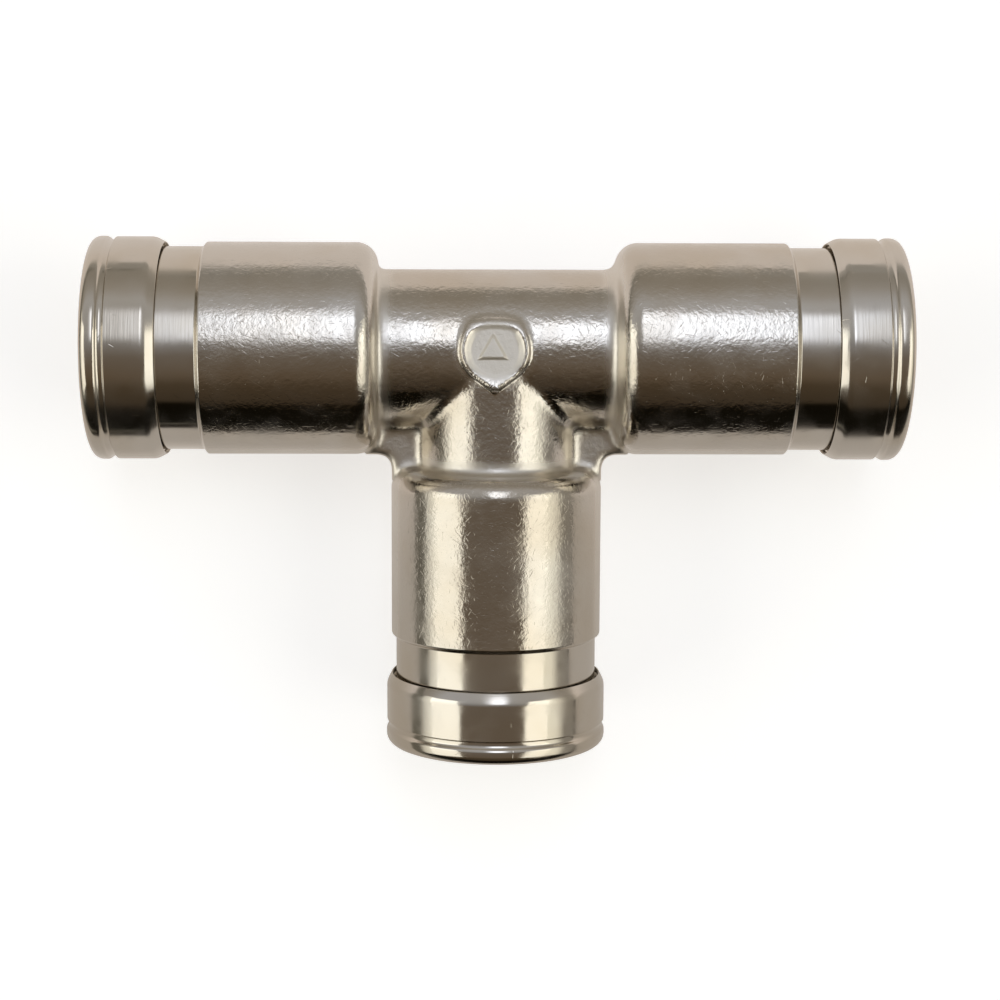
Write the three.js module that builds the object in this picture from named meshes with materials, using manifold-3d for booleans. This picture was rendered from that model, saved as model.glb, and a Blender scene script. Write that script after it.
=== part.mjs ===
// Tee push-to-connect fitting for air tube of 8 mm outside diameter, in millimetres.
//
// The fitting lies flat on a bench: +Z is up, the run is along X, the branch points along -Y,
// and the origin is on the bench at the centre of the fitting's footprint.
//
// A forged and nickel plated brass tee carries the same cartridge in each of its three ports.
// From the inside out a port holds the tube stop, the tube seal, the backup ring, the retainer
// sleeve with its inner cone, and the slotted collet. The collet's flange and a snap ring carry
// the release cap, which turns freely on the collet and pushes it in to let the tube go.
//
// Every port piece is drawn as a profile of [radius, distance from the tee's centre].

import * as THREE from "three";
import { mergeVertices } from "three/addons/utils/BufferGeometryUtils.js";
import Module from "manifold-3d";

const wasm = await Module();
wasm.setup();

// Driving dimensions
const tubeRadius = 4;
const portLength = 26.2; // tee's centre to the outer face of each release cap
const capRadius = 7.25;
const barrelRadius = 6.9; // the forged barrel
const turnedRadius = 6.55; // the machined end that the cap's skirt slides over
const neckRadius = 5.15; // the forging between the three barrels
const passageRadius = 3.25;
const releaseTravel = 1.5; // how far cap and collet slide in to let the tube go
const runningGap = 0.1; // radial play between sliding or turning pieces
const pressGap = 0.05; // radial play left where the real pieces are pressed together

// Stations along a port, from the tee's centre outwards
const shoulderFace = 7.75;
const stopFace = 9.3;
const barrelEnd = 18.9;
const skirtEdge = 21.5;
const bodyEnd = 23.3;
const sealPocketStart = 13.4;
const retainerSeat = 16.2;
const retainerEnd = 22.5;
const snapRingStation = 24.6;
const snapGrooveWidth = 0.5;
const collarSegments = 32; // facets round the body and the caps
const innerSegments = 24; // facets round the pieces inside

const tubeClearRadius = tubeRadius + 0.12;
const pocketRadius = 5.4;
const mouthRadius = 5.68;
const sleeveRadius = 4.87; // outside of the collet's sleeve
const flangeRadius = 5.5;

const nickelForged = new THREE.MeshStandardMaterial({ color: 0xb8aea0, roughness: 0.3, metalness: 1 });
const nickelTurned = new THREE.MeshStandardMaterial({ color: 0xbfb3a2, roughness: 0.18, metalness: 1 });
const bareBrass = new THREE.MeshStandardMaterial({ color: 0xc9a85c, roughness: 0.3, metalness: 1 });
const springSteel = new THREE.MeshStandardMaterial({ color: 0x9a9a98, roughness: 0.35, metalness: 1 });
const acetal = new THREE.MeshStandardMaterial({ color: 0xe9e6dc, roughness: 0.5, metalness: 0 });
const nitrileRubber = new THREE.MeshStandardMaterial({ color: 0x17181a, roughness: 0.7, metalness: 0 });

// A closed profile of [radius, station] points turned about the port's axis, which is +Y here.
function turned(profile, segments) {
  const points = profile.map(([radius, station]) => new THREE.Vector2(radius, station));
  points.push(points[0].clone());
  return new THREE.LatheGeometry(points, segments);
}

function named(name, geometry, material) {
  const mesh = new THREE.Mesh(geometry, material);
  mesh.name = name;
  return mesh;
}

function solidOf(geometry) {
  const bare = geometry.clone();
  bare.deleteAttribute("normal");
  bare.deleteAttribute("uv");
  const merged = mergeVertices(bare, 1e-4);
  return new wasm.Manifold(
    new wasm.Mesh({
      numProp: 3,
      vertProperties: merged.attributes.position.array,
      triVerts: new Uint32Array(merged.index.array),
    }),
  );
}

function geometryOf(solid) {
  const mesh = solid.getMesh();
  const geometry = new THREE.BufferGeometry();
  geometry.setAttribute("position", new THREE.BufferAttribute(mesh.vertProperties, 3));
  geometry.setIndex(new THREE.BufferAttribute(mesh.triVerts, 1));
  geometry.computeVertexNormals();
  return geometry;
}

// ---- The tee body -------------------------------------------------------------------------

// Outside of one port, from the tee's centre to the turned end.
function portOutside() {
  const filletRadius = 0.4;
  const shoulderRadius = 1.4;
  const shoulderSteps = 4;
  const endChamfer = 0.25;
  const stepLength = 0.25; // the short cone between forged and machined surface
  const profile = [
    [0, 0],
    [neckRadius, 0],
    [neckRadius, shoulderFace - filletRadius],
    [neckRadius + filletRadius, shoulderFace],
  ];
  for (let step = 0; step <= shoulderSteps; step += 1) {
    const angle = (step / shoulderSteps) * (Math.PI / 2);
    profile.push([
      barrelRadius - shoulderRadius * (1 - Math.sin(angle)),
      shoulderFace + shoulderRadius * (1 - Math.cos(angle)),
    ]);
  }
  profile.push(
    [barrelRadius, barrelEnd - stepLength / 2],
    [turnedRadius, barrelEnd + stepLength / 2],
    [turnedRadius, bodyEnd - endChamfer],
    [turnedRadius - endChamfer, bodyEnd],
    [0, bodyEnd],
  );
  return turned(profile, collarSegments);
}

// What is bored out of one port: passage, tube socket, seal pocket and cartridge bore.
function portInside() {
  const leadIn = 0.3;
  const mouthChamfer = 0.2;
  const overlap = passageRadius / 4; // past the centre, so that the three passages join
  const pastEnd = bodyEnd + 0.05;
  return turned(
    [
      [0, -overlap],
      [passageRadius, -overlap],
      [passageRadius, stopFace],
      [tubeClearRadius, stopFace],
      [tubeClearRadius, sealPocketStart - leadIn],
      [tubeClearRadius + leadIn, sealPocketStart],
      [pocketRadius, sealPocketStart],
      [pocketRadius, retainerSeat],
      [mouthRadius, retainerSeat],
      [mouthRadius, pastEnd - mouthChamfer],
      [mouthRadius + mouthChamfer, pastEnd],
      [0, pastEnd],
    ],
    collarSegments,
  );
}

// The thin web that fills the corner between the run's barrel and the branch's barrel.
function cornerWeb(side) {
  const thickness = 3.2;
  const rooted = 1.2; // how deep the web reaches into the necks and the barrels
  const inner = neckRadius - rooted;
  const outer = shoulderFace + rooted;
  const edge = barrelRadius - 0.1; // just under the barrels' outline
  const cornerRadius = 0.85;
  const outline = new THREE.Shape();
  outline.moveTo(inner, inner);
  outline.lineTo(outer, inner);
  outline.lineTo(outer, edge);
  outline.lineTo(barrelRadius + cornerRadius, edge);
  outline.quadraticCurveTo(edge, edge, edge, barrelRadius + cornerRadius);
  outline.lineTo(edge, outer);
  outline.lineTo(inner, outer);
  outline.closePath();
  const web = new THREE.ExtrudeGeometry(outline, { depth: thickness, bevelEnabled: false, curveSegments: 4 });
  web.translate(0, 0, -thickness / 2);
  web.rotateZ(side > 0 ? -Math.PI / 2 : Math.PI);
  return web;
}

// The round marking boss on the upper side, left blank.
function markingBoss() {
  const faceRadius = 1.8;
  const footRadius = 2.75;
  const faceHeight = 5.75;
  const footHeight = 4.8;
  const rootHeight = neckRadius - 2;
  const boss = turned(
    [
      [0, rootHeight],
      [footRadius, rootHeight],
      [footRadius, footHeight],
      [faceRadius, faceHeight],
      [0, faceHeight],
    ],
    innerSegments,
  );
  boss.rotateX(Math.PI / 2);
  return boss;
}

function teeBody() {
  const directions = [Math.PI / 2, -Math.PI / 2, Math.PI]; // left, right and branch
  let solid = solidOf(markingBoss());
  for (const angle of directions) solid = solid.add(solidOf(portOutside().rotateZ(angle)));
  for (const side of [-1, 1]) solid = solid.add(solidOf(cornerWeb(side)));
  for (const angle of directions) solid = solid.subtract(solidOf(portInside().rotateZ(angle)));
  return named("tee_body", geometryOf(solid), nickelForged);
}

// ---- The cartridge in each port -----------------------------------------------------------

function tubeSeal(port) {
  const sectionRadius = 0.74;
  const sectionSides = 8;
  const outerPlay = 0.06;
  const middleRadius = pocketRadius - outerPlay - sectionRadius;
  const middle = sealPocketStart + sectionRadius + runningGap;
  const section = [];
  for (let side = 0; side < sectionSides; side += 1) {
    const angle = ((side + 0.5) / sectionSides) * 2 * Math.PI;
    section.push([middleRadius + sectionRadius * Math.cos(angle), middle + sectionRadius * Math.sin(angle)]);
  }
  return named("tube_seal_" + port, turned(section, innerSegments), nitrileRubber);
}

function backupRing(port) {
  const thickness = 1.07;
  const end = retainerSeat - pressGap;
  const start = end - thickness;
  const outer = pocketRadius - pressGap;
  const section = [
    [tubeClearRadius, start],
    [outer, start],
    [outer, end],
    [tubeClearRadius, end],
  ];
  return named("backup_ring_" + port, turned(section, innerSegments), acetal);
}

// The sleeve pressed into the mouth. Its inner cone closes the collet's fingers on the tube.
function retainerSleeve(port) {
  const outer = mouthRadius - pressGap;
  const start = retainerSeat + pressGap;
  const lipLength = 0.3;
  const chamberRadius = 5.3;
  const coneStart = 19.3;
  const coneEnd = 20.35;
  const leadIn = 0.2;
  const boreRadius = sleeveRadius + runningGap;
  const section = [
    [boreRadius, start],
    [outer, start],
    [outer, retainerEnd],
    [boreRadius + leadIn, retainerEnd],
    [boreRadius, retainerEnd - leadIn],
    [boreRadius, coneEnd],
    [chamberRadius, coneStart],
    [chamberRadius, start + lipLength],
    [boreRadius, start + lipLength],
  ];
  return named("retainer_sleeve_" + port, turned(section, innerSegments), bareBrass);
}

// The slotted collet: gripping heads on sprung fingers, a sleeve, and the flange in the cap's face.
function collet(port) {
  const headEnd = 18.2;
  const headRadius = 5.18;
  const headChamfer = 0.2;
  const headLength = 0.9;
  const headSlopeEnd = headEnd + 2; // the head's long slope rests on the retainer's cone
  const toothRadius = tubeRadius - 0.07;
  const toothStation = headEnd + 0.5;
  const toothSlopeEnd = headEnd + 1.2;
  const grooveStart = snapRingStation - snapGrooveWidth / 2;
  const grooveEnd = snapRingStation + snapGrooveWidth / 2;
  const grooveRadius = sleeveRadius - 0.27;
  const flangeFoot = 25.75;
  const flangeChamfer = 0.15;
  const mouthChamfer = 0.4;
  const section = [
    [tubeClearRadius, headEnd],
    [headRadius - headChamfer, headEnd],
    [headRadius, headEnd + headChamfer],
    [headRadius, headEnd + headLength],
    [sleeveRadius, headSlopeEnd],
    [sleeveRadius, grooveStart],
    [grooveRadius, grooveStart],
    [grooveRadius, grooveEnd],
    [sleeveRadius, grooveEnd],
    [sleeveRadius, flangeFoot],
    [flangeRadius, flangeFoot],
    [flangeRadius, portLength - flangeChamfer],
    [flangeRadius - flangeChamfer, portLength],
    [tubeClearRadius + mouthChamfer, portLength],
    [tubeClearRadius, portLength - mouthChamfer],
    [tubeClearRadius, toothSlopeEnd],
    [toothRadius, toothStation],
  ];
  const slotWidth = 0.8;
  const slotEnd = 22.4;
  const slotPairs = 3;
  let solid = solidOf(turned(section, innerSegments));
  for (let pair = 0; pair < slotPairs; pair += 1) {
    const slot = new THREE.BoxGeometry(4 * headRadius, slotEnd - headEnd + 1, slotWidth);
    slot.translate(0, (slotEnd + headEnd - 1) / 2, 0);
    slot.rotateY(((pair + 0.5) / slotPairs) * Math.PI);
    solid = solid.subtract(solidOf(slot));
  }
  return named("collet_" + port, geometryOf(solid), bareBrass);
}

// The open wire ring in the collet's groove, which keeps the cap against the flange.
function snapRing(port) {
  const wireRadius = 0.2;
  const middleRadius = sleeveRadius + 0.02;
  const openingAngle = Math.PI / 9;
  const wire = new THREE.Shape();
  wire.absarc(0, 0, wireRadius, 0, 2 * Math.PI);
  const path = new THREE.CatmullRomCurve3(
    Array.from({ length: innerSegments + 1 }, (unused, step) => {
      const angle = openingAngle + (step / innerSegments) * 2 * (Math.PI - openingAngle);
      const across = middleRadius * Math.sin(angle);
      return new THREE.Vector3(across, snapRingStation, middleRadius * Math.cos(angle));
    }),
  );
  const ring = new THREE.ExtrudeGeometry(wire, { steps: innerSegments, extrudePath: path, curveSegments: 6 });
  return named("snap_ring_" + port, ring, springSteel);
}

// The release cap: a skirt over the body's turned end, a web, and a rim round the collet's flange.
function releaseCap(port) {
  const skirtInner = turnedRadius + runningGap;
  const webInside = bodyEnd + releaseTravel + runningGap;
  const webOutside = 25.7;
  const edgeChamfer = 0.15;
  const endRounding = 0.4;
  const endSteps = 3;
  const skirtOuter = capRadius - 0.12;
  const grooveRadius = capRadius - 0.26;
  const grooveStart = 24.6;
  const grooveStep = 0.1; // steep on the skirt's side
  const grooveRise = 0.25; // and sloping up to the bead
  const beadStart = 25.2;
  const section = [
    [skirtInner, skirtEdge + edgeChamfer],
    [skirtInner + edgeChamfer, skirtEdge],
    [skirtOuter - edgeChamfer, skirtEdge],
    [skirtOuter, skirtEdge + edgeChamfer],
    [skirtOuter, grooveStart],
    [grooveRadius, grooveStart + grooveStep],
    [grooveRadius, beadStart - grooveRise],
    [capRadius, beadStart],
  ];
  for (let step = 0; step <= endSteps; step += 1) {
    const angle = (step / endSteps) * (Math.PI / 2);
    section.push([
      capRadius - endRounding * (1 - Math.cos(angle)),
      portLength - endRounding * (1 - Math.sin(angle)),
    ]);
  }
  section.push(
    [flangeRadius + runningGap, portLength],
    [flangeRadius + runningGap, webOutside],
    [sleeveRadius + runningGap, webOutside],
    [sleeveRadius + runningGap, webInside],
    [skirtInner, webInside],
  );
  return named("release_cap_" + port, turned(section, collarSegments), nickelTurned);
}

// ---- Assembly -----------------------------------------------------------------------------

const fitting = new THREE.Group();
fitting.position.set(0, (portLength - capRadius) / 2, capRadius);
fitting.add(teeBody());

const portAngles = { left: Math.PI / 2, right: -Math.PI / 2, branch: Math.PI };
for (const [port, angle] of Object.entries(portAngles)) {
  const cartridge = new THREE.Group();
  cartridge.rotation.z = angle;
  cartridge.add(tubeSeal(port), backupRing(port), retainerSleeve(port));
  cartridge.add(collet(port), snapRing(port), releaseCap(port));
  fitting.add(cartridge);
}

const root = new THREE.Group();
root.add(fitting);

export default root;
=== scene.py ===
import math

import bmesh
import bpy
import numpy as np
from mathutils import Matrix, Vector


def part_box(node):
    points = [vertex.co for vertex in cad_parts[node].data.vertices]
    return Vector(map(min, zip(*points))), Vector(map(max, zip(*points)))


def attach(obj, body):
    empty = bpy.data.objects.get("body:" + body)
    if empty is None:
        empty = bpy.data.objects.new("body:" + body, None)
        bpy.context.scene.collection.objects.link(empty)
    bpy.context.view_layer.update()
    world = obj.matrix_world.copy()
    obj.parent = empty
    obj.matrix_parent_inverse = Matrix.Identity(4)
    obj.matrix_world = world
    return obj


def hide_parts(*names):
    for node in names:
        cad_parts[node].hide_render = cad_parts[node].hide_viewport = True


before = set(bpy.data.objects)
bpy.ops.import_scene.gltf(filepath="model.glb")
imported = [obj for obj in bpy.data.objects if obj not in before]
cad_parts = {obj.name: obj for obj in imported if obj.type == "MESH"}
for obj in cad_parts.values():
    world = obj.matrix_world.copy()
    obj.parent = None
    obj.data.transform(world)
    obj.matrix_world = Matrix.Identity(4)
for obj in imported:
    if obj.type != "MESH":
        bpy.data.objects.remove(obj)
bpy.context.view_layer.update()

print("frame loaded:", len(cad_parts), "nodes")

mm = 0.001


def nodeBox(node):
    lowest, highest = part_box(node)
    return Vector(lowest) / mm, Vector(highest) / mm


# sizes that the frame gives, in millimetres from the crossing of the three port axes
capLow, capHigh = nodeBox("release_cap_right")
branchLow, branchHigh = nodeBox("release_cap_branch")
bodyLow, bodyHigh = nodeBox("tee_body")
crossing = Vector((
    (branchLow.x + branchHigh.x) / 2,
    (capLow.y + capHigh.y) / 2,
    (capLow.z + capHigh.z) / 2,
))
capRadius = (capHigh.z - capLow.z) / 2
portLength = capHigh.x - crossing.x
skirtEdge = capLow.x - crossing.x
barrelRadius = crossing.z - bodyLow.z
bodyEnd = bodyHigh.x - crossing.x

outwards = {
    "left": Vector((-1, 0, 0)),
    "right": Vector((1, 0, 0)),
    "branch": Vector((0, -1, 0)),
}


# A port piece is modelled along +Z. This turns it to its port, with its +X side up.
def portTurn(port):
    up = Vector((0, 0, 1))
    outward = outwards[port]
    return Matrix((up, outward.cross(up), outward)).transposed().to_4x4()


# A wire through corners of (radius, station, rounding), in the XZ plane.
def drawProfile(bm, corners, segments=4, closed=True):
    wire = [bm.verts.new((radius, 0, station)) for radius, station, rounding in corners]
    for start, end in zip(wire, wire[1:] + (wire[:1] if closed else [])):
        bm.edges.new((start, end))
    for vert, (radius, station, rounding) in zip(wire, corners):
        if rounding > 0:
            bmesh.ops.bevel(
                bm, geom=[vert], offset=rounding, offset_type="OFFSET", segments=segments,
                profile=0.5, affect="VERTICES", material=-1,
            )
    bmesh.ops.remove_doubles(bm, verts=bm.verts, dist=1e-4)


# A round wire at a radius and a station, in the XZ plane.
def drawRound(bm, radius, station, section, segments, filled=False):
    place = Matrix.Translation((radius, 0, station)) @ Matrix.Rotation(math.pi / 2, 4, "X")
    bmesh.ops.create_circle(bm, cap_ends=filled, segments=segments, radius=section, matrix=place)


def turnProfile(bm, steps=144):
    bmesh.ops.spin(
        bm, geom=bm.verts[:] + bm.edges[:], cent=(0, 0, 0), axis=(0, 0, 1),
        angle=math.tau, steps=steps, use_merge=True,
    )
    bmesh.ops.remove_doubles(bm, verts=bm.verts, dist=1e-4)
    bmesh.ops.recalc_face_normals(bm, faces=bm.faces)


# Writes one number to every vertex, for the materials to read.
def writeLayer(bm, name, valueAt):
    layer = bm.verts.layers.float.new(name)
    for vert in bm.verts:
        vert[layer] = valueAt(vert.co)


def newObject(bm, name):
    mesh = bpy.data.meshes.new(name)
    bm.to_mesh(mesh)
    bm.free()
    made = bpy.data.objects.new(name, mesh)
    bpy.context.collection.objects.link(made)
    return made


def dropObject(unwanted):
    mesh = unwanted.data
    bpy.data.objects.remove(unwanted)
    bpy.data.meshes.remove(mesh)


# Ends a piece: edges steeper than the angle stay sharp, and the rest is shaded evenly.
def finishPiece(bm, name, materials, sharpAngle=35):
    piece = newObject(bm, name)
    for material in materials:
        piece.data.materials.append(material)
    piece.data.shade_smooth()
    piece.data.set_sharp_from_angle(angle=math.radians(sharpAngle))
    weighting = piece.modifiers.new("even shading", "WEIGHTED_NORMAL")
    weighting.keep_sharp = True
    weighting.weight = 60
    return piece


# Stands a finished port piece in its port, in place of its CAD node.
def mount(bm, node, port, body, material):
    name = node + "_" + port
    writeLayer(bm, "station", lambda co: co.z)
    place = Matrix.Scale(mm, 4) @ Matrix.Translation(crossing) @ portTurn(port)
    bmesh.ops.transform(bm, matrix=place, verts=bm.verts)
    piece = finishPiece(bm, name + "_piece", [material])
    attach(piece, body)
    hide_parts(name)


# The mesh of an object with its modifiers applied, as a new bmesh.
def appliedMesh(piece):
    graph = bpy.context.evaluated_depsgraph_get()
    mesh = bpy.data.meshes.new_from_object(piece.evaluated_get(graph))
    bm = bmesh.new()
    bm.from_mesh(mesh)
    bpy.data.meshes.remove(mesh)
    return bm


# Moves all of one bmesh into another.
def addMesh(bm, part):
    mesh = bpy.data.meshes.new("part")
    part.to_mesh(mesh)
    part.free()
    bm.from_mesh(mesh)
    bpy.data.meshes.remove(mesh)


def addNode(tree, kind, **settings):
    node = tree.nodes.new(kind)
    for name, value in settings.items():
        setattr(node, name, value)
    return node


# Puts a value or a link on an input.
def feed(tree, socket, source):
    if isinstance(source, bpy.types.NodeSocket):
        tree.links.new(source, socket)
    else:
        socket.default_value = source


def maths(tree, operation, *inputs, clamp=False):
    node = addNode(tree, "ShaderNodeMath", operation=operation, use_clamp=clamp)
    for socket, source in zip(node.inputs, inputs):
        feed(tree, socket, source)
    return node.outputs[0]


def vectorMaths(tree, operation, *inputs, scale=None):
    node = addNode(tree, "ShaderNodeVectorMath", operation=operation)
    for socket, source in zip(node.inputs, inputs):
        feed(tree, socket, source)
    if scale is not None:
        feed(tree, node.inputs["Scale"], scale)
    return node.outputs["Value" if operation in ("DOT_PRODUCT", "LENGTH") else "Vector"]


def smoothRange(tree, value, low, high, lowOut=0.0, highOut=1.0):
    node = addNode(tree, "ShaderNodeMapRange", interpolation_type="SMOOTHSTEP")
    for name, source in (
        ("Value", value), ("From Min", low), ("From Max", high), ("To Min", lowOut), ("To Max", highOut),
    ):
        feed(tree, node.inputs[name], source)
    return node.outputs["Result"]


def mixColour(tree, factor, first, second, blend="MIX"):
    node = addNode(tree, "ShaderNodeMix", data_type="RGBA", blend_type=blend)
    feed(tree, node.inputs["Factor"], factor)
    feed(tree, node.inputs["A"], first)
    feed(tree, node.inputs["B"], second)
    return [socket for socket in node.outputs if socket.type == "RGBA"][0]


def mixShader(tree, factor, first, second):
    node = addNode(tree, "ShaderNodeMixShader")
    for socket, source in zip(node.inputs, (factor, first, second)):
        feed(tree, socket, source)
    return node.outputs[0]


def newGroup(name, inputs, outputs):
    group = bpy.data.node_groups.new(name, "ShaderNodeTree")
    for socketName, value in inputs.items():
        socket = group.interface.new_socket(socketName, in_out="INPUT", socket_type="NodeSocketFloat")
        socket.default_value = value
    for socketName in outputs:
        group.interface.new_socket(socketName, in_out="OUTPUT", socket_type="NodeSocketFloat")
    return group, group.nodes.new("NodeGroupInput").outputs, group.nodes.new("NodeGroupOutput").inputs


# Puts a group in a material and gives its outputs.
def useGroup(tree, group, **values):
    node = addNode(tree, "ShaderNodeGroup", node_tree=group)
    for name, source in values.items():
        feed(tree, node.inputs[name], source)
    return node.outputs


# Object coordinates in millimetres.
def inMillimetres(tree):
    place = addNode(tree, "ShaderNodeTexCoord").outputs["Object"]
    return vectorMaths(tree, "SCALE", place, scale=1 / mm)


# Short straight nicks and scratches, one to a cell, each lying in the surface in a direction of its own.
def makeNicks():
    group, given, result = newGroup(
        "nicks",
        {"Spacing": 1.0, "Length": 0.5, "Width": 0.05, "Share": 0.7, "Seed": 0.0},
        ["Mask"],
    )
    density = maths(group, "DIVIDE", 1.0, given["Spacing"])
    place = vectorMaths(group, "SCALE", inMillimetres(group), scale=density)
    place = vectorMaths(group, "ADD", place, given["Seed"])
    cells = addNode(group, "ShaderNodeTexVoronoi", voronoi_dimensions="3D", feature="F1")
    cells.inputs["Scale"].default_value = 1
    feed(group, cells.inputs["Vector"], place)
    normal = addNode(group, "ShaderNodeNewGeometry").outputs["Normal"]

    def flattened(vector):
        lift = vectorMaths(group, "DOT_PRODUCT", vector, normal)
        return vectorMaths(group, "SUBTRACT", vector, vectorMaths(group, "SCALE", normal, scale=lift))

    heading = vectorMaths(group, "SUBTRACT", cells.outputs["Color"], (0.5, 0.5, 0.5))
    heading = vectorMaths(group, "NORMALIZE", flattened(heading))
    offset = flattened(vectorMaths(group, "SUBTRACT", place, cells.outputs["Position"]))
    along = vectorMaths(group, "DOT_PRODUCT", offset, heading)
    aside = vectorMaths(group, "SUBTRACT", offset, vectorMaths(group, "SCALE", heading, scale=along))
    along = maths(group, "MULTIPLY", maths(group, "ABSOLUTE", along), given["Spacing"])
    aside = maths(group, "MULTIPLY", vectorMaths(group, "LENGTH", aside), given["Spacing"])
    chance = addNode(group, "ShaderNodeTexWhiteNoise", noise_dimensions="3D")
    feed(group, chance.inputs["Vector"], cells.outputs["Position"])
    luck = chance.outputs["Value"]
    reach = maths(group, "MULTIPLY", given["Length"], 0.5)
    reach = maths(group, "MULTIPLY", reach, maths(group, "ADD", luck, 0.4))
    lengthMask = smoothRange(group, along, reach, maths(group, "MULTIPLY", reach, 0.6))
    half = maths(group, "MULTIPLY", given["Width"], 0.5)
    widthMask = smoothRange(group, aside, half, 0.0)
    drawn = maths(group, "LESS_THAN", luck, given["Share"])
    mask = maths(group, "MULTIPLY", lengthMask, widthMask)
    feed(group, result["Mask"], maths(group, "MULTIPLY", mask, drawn))
    return group


# The soft unevenness that tumbling leaves on a forging, as a height from 0 to 1.
def makeTumbling():
    group, given, result = newGroup("tumbling", {"Size": 0.6, "Rough": 0.5}, ["Height"])
    noise = addNode(group, "ShaderNodeTexNoise", noise_dimensions="3D")
    feed(group, noise.inputs["Vector"], inMillimetres(group))
    feed(group, noise.inputs["Scale"], maths(group, "DIVIDE", 1.0, given["Size"]))
    noise.inputs["Detail"].default_value = 3
    feed(group, noise.inputs["Roughness"], given["Rough"])
    feed(group, result["Height"], noise.outputs["Fac"])
    return group


# Fine lines round a turned surface. They follow the station and change slowly round the piece.
def makeTurning():
    group, given, result = newGroup("turning", {"Pitch": 0.12, "Drift": 0.05}, ["Height"])
    station = addNode(group, "ShaderNodeAttribute", attribute_name="station").outputs["Fac"]
    noise = addNode(group, "ShaderNodeTexNoise", noise_dimensions="4D")
    place = vectorMaths(group, "SCALE", inMillimetres(group), scale=given["Drift"])
    feed(group, noise.inputs["Vector"], place)
    feed(group, noise.inputs["W"], maths(group, "DIVIDE", station, given["Pitch"]))
    noise.inputs["Scale"].default_value = 1
    noise.inputs["Detail"].default_value = 2
    feed(group, result["Height"], noise.outputs["Fac"])
    return group


# Wide soft patches, from 0 to 1, for tint and gloss that wander over a surface.
def makePatches():
    group, given, result = newGroup("patches", {"Size": 5.0, "Seed": 0.0}, ["Mask"])
    noise = addNode(group, "ShaderNodeTexNoise", noise_dimensions="4D")
    feed(group, noise.inputs["Vector"], inMillimetres(group))
    feed(group, noise.inputs["W"], given["Seed"])
    feed(group, noise.inputs["Scale"], maths(group, "DIVIDE", 1.0, given["Size"]))
    noise.inputs["Detail"].default_value = 3
    feed(group, result["Mask"], smoothRange(group, noise.outputs["Fac"], 0.35, 0.65))
    return group


nicks = makeNicks()
tumbling = makeTumbling()
turning = makeTurning()
patches = makePatches()


def newMaterial(name, metallic):
    material = bpy.data.materials.new(name)
    material.use_nodes = True
    tree = material.node_tree
    shader = tree.nodes["Principled BSDF"]
    shader.inputs["Metallic"].default_value = metallic
    return material, tree, shader


# Chains bumps of (height, depth in millimetres) and ends on the shader's normal.
def bumps(tree, shader, layers):
    normal = None
    for height, depth in layers:
        bump = addNode(tree, "ShaderNodeBump")
        bump.inputs["Strength"].default_value = 1
        bump.inputs["Distance"].default_value = depth * mm
        feed(tree, bump.inputs["Height"], height)
        if normal is not None:
            feed(tree, bump.inputs["Normal"], normal)
        normal = bump.outputs["Normal"]
    feed(tree, shader.inputs["Normal"], normal)


forgedNickel = {
    "colour": (0.66, 0.62, 0.56, 1),
    "warm": (0.61, 0.55, 0.465, 1),
    "roughness": (0.11, 0.22),
    "satinColour": (0.84, 0.8, 0.73, 1),
    "satinRoughness": 0.52,
    "peelSize": 0.3,
    "peelDepth": 0.015,
    "neckPeel": 1.7,  # how much stronger the unevenness is between the barrels
    "grainSize": 0.12,
    "grainDepth": 0.003,
    "nick": {"Spacing": 0.42, "Length": 0.5, "Width": 0.06, "Share": 0.75},
    "nickDepth": 0.003,
    "scratch": {"Spacing": 1.3, "Length": 1.0, "Width": 0.07, "Share": 0.6, "Seed": 7.3},
    "scratchDepth": 0.0035,
}


def makeForgedNickel():
    material, tree, shader = newMaterial("forged nickel", 1)
    warmth = useGroup(tree, patches, Size=6.0, Seed=1.0)["Mask"]
    gloss = useGroup(tree, patches, Size=1.6, Seed=4.0)["Mask"]
    satin = addNode(tree, "ShaderNodeAttribute", attribute_name="satin").outputs["Fac"]
    nick = useGroup(tree, nicks, **forgedNickel["nick"])
    scratch = useGroup(tree, nicks, **forgedNickel["scratch"])
    peel = useGroup(tree, tumbling, Size=forgedNickel["peelSize"], Rough=0.55)["Height"]
    neck = addNode(tree, "ShaderNodeAttribute", attribute_name="neck").outputs["Fac"]
    stronger = smoothRange(tree, neck, 0.0, 1.0, 1.0, forgedNickel["neckPeel"])
    peel = maths(tree, "MULTIPLY", peel, stronger)
    grain = useGroup(tree, tumbling, Size=forgedNickel["grainSize"], Rough=0.5)["Height"]
    roughness = smoothRange(tree, gloss, 0.0, 1.0, *forgedNickel["roughness"])
    roughness = smoothRange(tree, satin, 0.0, 1.0, roughness, forgedNickel["satinRoughness"])
    colour = mixColour(tree, warmth, forgedNickel["colour"], forgedNickel["warm"])
    feed(tree, shader.inputs["Base Color"], mixColour(tree, satin, colour, forgedNickel["satinColour"]))
    feed(tree, shader.inputs["Roughness"], roughness)
    bumps(tree, shader, [
        (peel, forgedNickel["peelDepth"]),
        (grain, forgedNickel["grainDepth"]),
        (nick["Mask"], -forgedNickel["nickDepth"]),
        (scratch["Mask"], -forgedNickel["scratchDepth"]),
    ])
    return material


turnedNickel = {
    "colour": (0.67, 0.63, 0.57, 1),
    "warm": (0.62, 0.56, 0.47, 1),
    "roughness": (0.11, 0.22),
    "waveSize": 2.2,
    "waveDepth": 0.006,
    "linePitch": 0.17,
    "lineDepth": 0.003,
    "nick": {"Spacing": 2.2, "Length": 0.7, "Width": 0.06, "Share": 0.6, "Seed": 3.1},
    "nickDepth": 0.003,
}


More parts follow.
